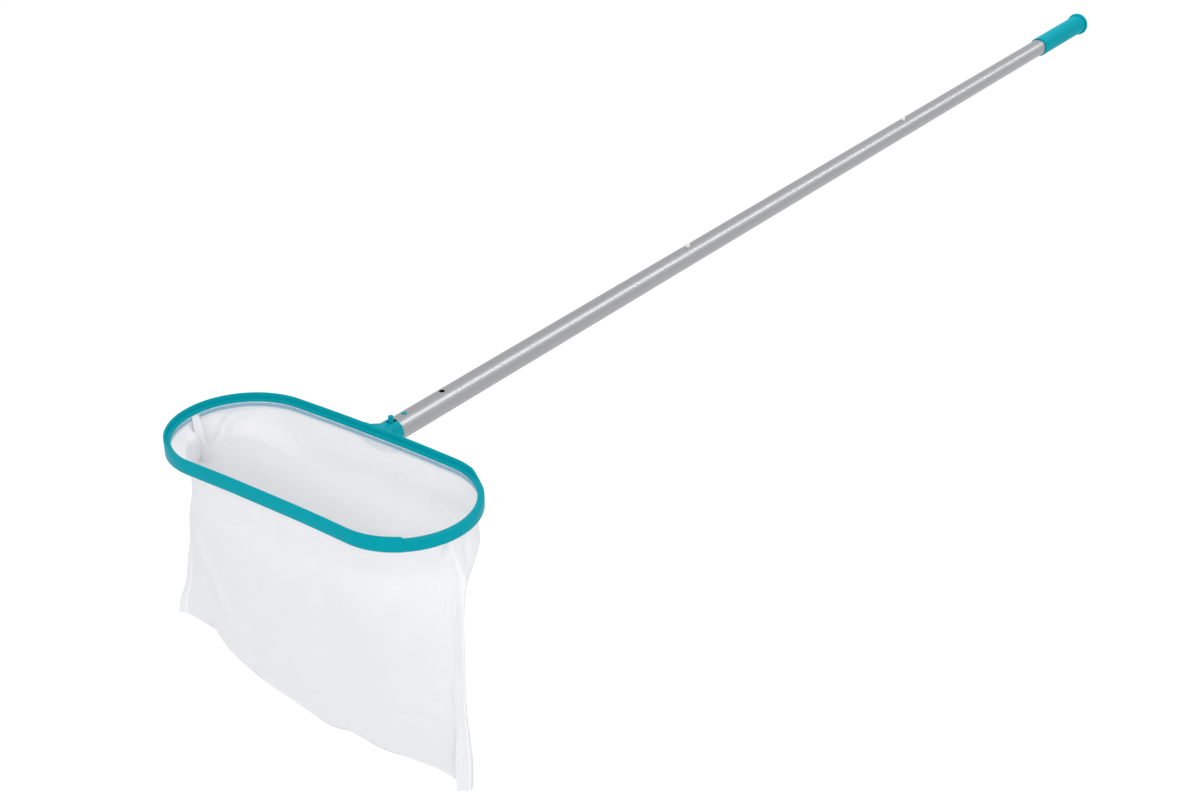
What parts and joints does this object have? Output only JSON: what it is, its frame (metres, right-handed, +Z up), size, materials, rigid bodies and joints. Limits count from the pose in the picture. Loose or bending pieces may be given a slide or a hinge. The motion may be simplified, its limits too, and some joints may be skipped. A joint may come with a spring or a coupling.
{
  "type": "leaf skimmer net",
  "caption": "Pool leaf skimmer: an oblong plastic hoop with a deep fine mesh bag, latched to a sectional aluminium pole with snap buttons and a soft grip.",
  "frame": {"origin": "on the pole's axis, at the middle of the grip", "axes": "+Y along the pole from the net to the grip, +Z up from the hoop's mouth, +X along the hoop's long way; the bag hangs towards -Z"},
  "size_m": [0.5206, 2.236, 0.3953],
  "materials": {
    "hoop": "teal moulded plastic, slight gloss",
    "hoop_joint": "teal moulded plastic, slight gloss",
    "hem_strip": "plain teal plastic strip",
    "mesh": "fine white nylon mesh, thin and translucent",
    "seam": "doubled white mesh, stitched",
    "socket": "teal moulded plastic, slight gloss",
    "steel": "plain stainless steel",
    "tube": "satin anodised aluminium tube",
    "nylon": "white nylon",
    "grip": "soft teal vinyl"
  },
  "bodies": {
    "skimmer": {"hoop_strip": "hoop", "hoop_end": "hoop_joint", "hem_strip": "hem_strip", "net_hem": "mesh", "net_bag": "mesh", "left_seam": "seam", "right_seam": "seam", "pole_socket": "socket", "socket_screws": "steel", "lower_tube": "tube", "middle_tube": "tube", "upper_tube": "tube", "lower_button_spring": "steel", "upper_button_spring": "steel", "grip": "grip"},
    "latch": {"latch_tongue": "socket"},
    "lower_button": {"lower_snap_button": "nylon"},
    "upper_button": {"upper_snap_button": "nylon"}
  },
  "joints": [
    {"name": "latch_press", "type": "hinge", "parent": "skimmer", "child": "latch", "pos_m": [0, -1.8715, 0.0085], "axis": [1, 0, 0], "range_deg": [0, 3.5], "stiffness_Nm_per_rad": 12, "springref_deg": -1.72},
    {"name": "lower_button_press", "type": "slide", "parent": "skimmer", "child": "lower_button", "axis": [0, 0, -1], "range_m": [0, 0.006], "stiffness_N_per_m": 1500, "springref_m": -0.002, "deforming": ["lower_button_spring"]},
    {"name": "upper_button_press", "type": "slide", "parent": "skimmer", "child": "upper_button", "axis": [0, 0, -1], "range_m": [0, 0.006], "stiffness_N_per_m": 1500, "springref_m": -0.002, "deforming": ["upper_button_spring"]}
  ]
}
